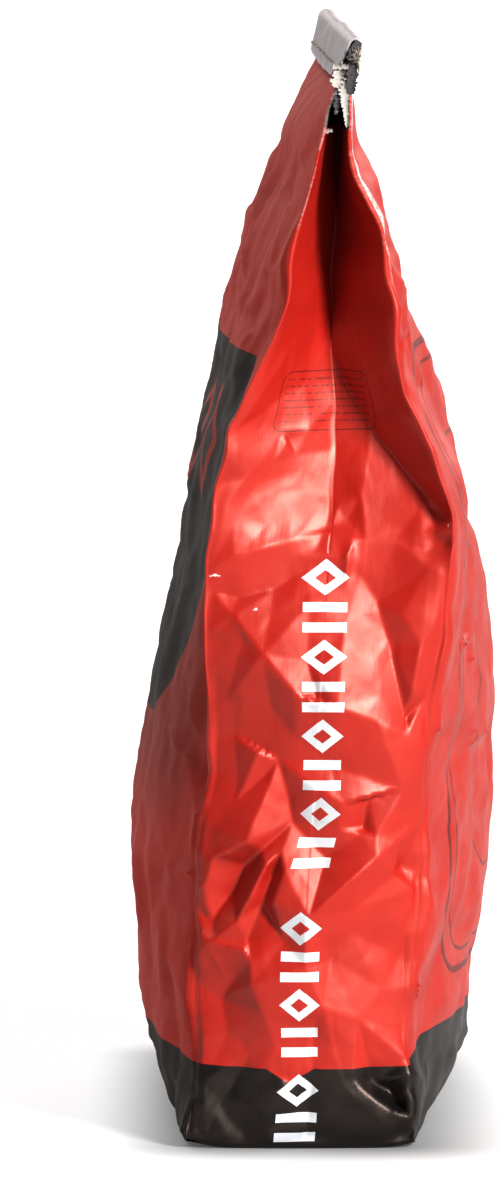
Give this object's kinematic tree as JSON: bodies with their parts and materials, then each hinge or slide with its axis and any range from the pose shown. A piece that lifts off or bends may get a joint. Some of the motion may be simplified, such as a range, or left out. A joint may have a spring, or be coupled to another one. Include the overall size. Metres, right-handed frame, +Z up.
{
  "type": "filled paper sack of lump charcoal",
  "caption": "Standing gusseted paper sack, sewn shut over a folded mouth and filled with big charcoal lumps.",
  "frame": {"origin": "centre of the flat base, where it stands on the floor", "axes": "+Z up, +X along the broad faces towards one gusset, +Y from the front to the back of the sack"},
  "size_m": [0.41, 0.2351, 0.6998],
  "materials": {
    "red_printed_paper": "satin",
    "cotton_thread": "matte",
    "charcoal": "matte"
  },
  "bodies": {
    "root": {"paper_sack": "red_printed_paper", "closing_thread": "cotton_thread", "charcoal_lump_01": "charcoal", "charcoal_lump_02": "charcoal", "charcoal_lump_03": "charcoal", "charcoal_lump_04": "charcoal", "charcoal_lump_05": "charcoal", "charcoal_lump_06": "charcoal", "charcoal_lump_07": "charcoal", "charcoal_lump_08": "charcoal", "charcoal_lump_09": "charcoal", "charcoal_lump_10": "charcoal", "charcoal_lump_11": "charcoal", "charcoal_lump_12": "charcoal", "charcoal_lump_13": "charcoal", "charcoal_lump_14": "charcoal", "charcoal_lump_15": "charcoal", "charcoal_lump_16": "charcoal", "charcoal_lump_17": "charcoal", "charcoal_lump_18": "charcoal", "charcoal_lump_19": "charcoal", "charcoal_lump_20": "charcoal", "charcoal_lump_21": "charcoal", "charcoal_lump_22": "charcoal", "charcoal_lump_23": "charcoal", "charcoal_lump_24": "charcoal", "charcoal_lump_25": "charcoal", "charcoal_lump_26": "charcoal", "charcoal_lump_27": "charcoal", "charcoal_lump_28": "charcoal", "charcoal_lump_29": "charcoal", "charcoal_lump_30": "charcoal", "charcoal_lump_31": "charcoal", "charcoal_lump_32": "charcoal", "charcoal_lump_33": "charcoal", "charcoal_lump_34": "charcoal", "charcoal_lump_35": "charcoal", "charcoal_lump_36": "charcoal", "charcoal_lump_37": "charcoal", "charcoal_lump_38": "charcoal", "charcoal_lump_39": "charcoal", "charcoal_lump_40": "charcoal", "charcoal_lump_41": "charcoal", "charcoal_lump_42": "charcoal", "charcoal_lump_43": "charcoal", "charcoal_lump_44": "charcoal", "charcoal_lump_45": "charcoal", "charcoal_lump_46": "charcoal"}
  },
  "joints": []
}
